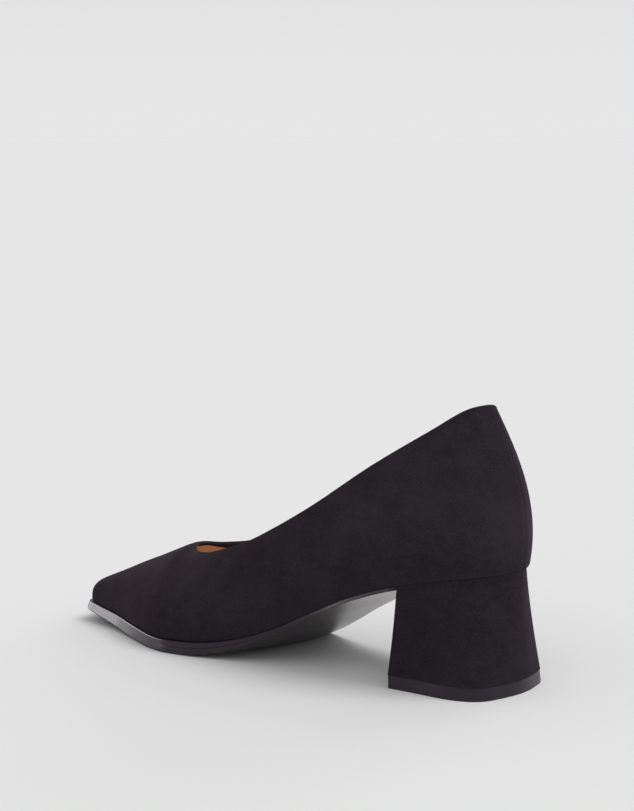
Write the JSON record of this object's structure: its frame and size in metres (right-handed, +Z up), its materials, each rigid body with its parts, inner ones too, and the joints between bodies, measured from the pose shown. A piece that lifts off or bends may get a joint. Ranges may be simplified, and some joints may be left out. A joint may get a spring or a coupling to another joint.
{
  "type": "low block-heel shoe",
  "caption": "Suede court shoe with a square snipped toe, low throat, thin edged sole and flared block heel; a hollow upper open at the collar for the foot.",
  "frame": {"origin": "middle of the shoe's length and width, on the floor it stands on", "axes": "+X to the heel, so the toe points to -X; +Y to the outer side of the foot; +Z up"},
  "size_m": [0.2488, 0.0815, 0.1232],
  "materials": {
    "upper": "black suede with a tan leather lining",
    "insole": "smooth tan leather sock",
    "outsole": "smooth black, satin edge",
    "heel": "black suede cover",
    "top_piece": "plain black"
  },
  "bodies": {
    "root": {"upper": "upper", "insole": "insole", "outsole": "outsole", "heel": "heel", "top_piece": "top_piece"}
  },
  "joints": []
}
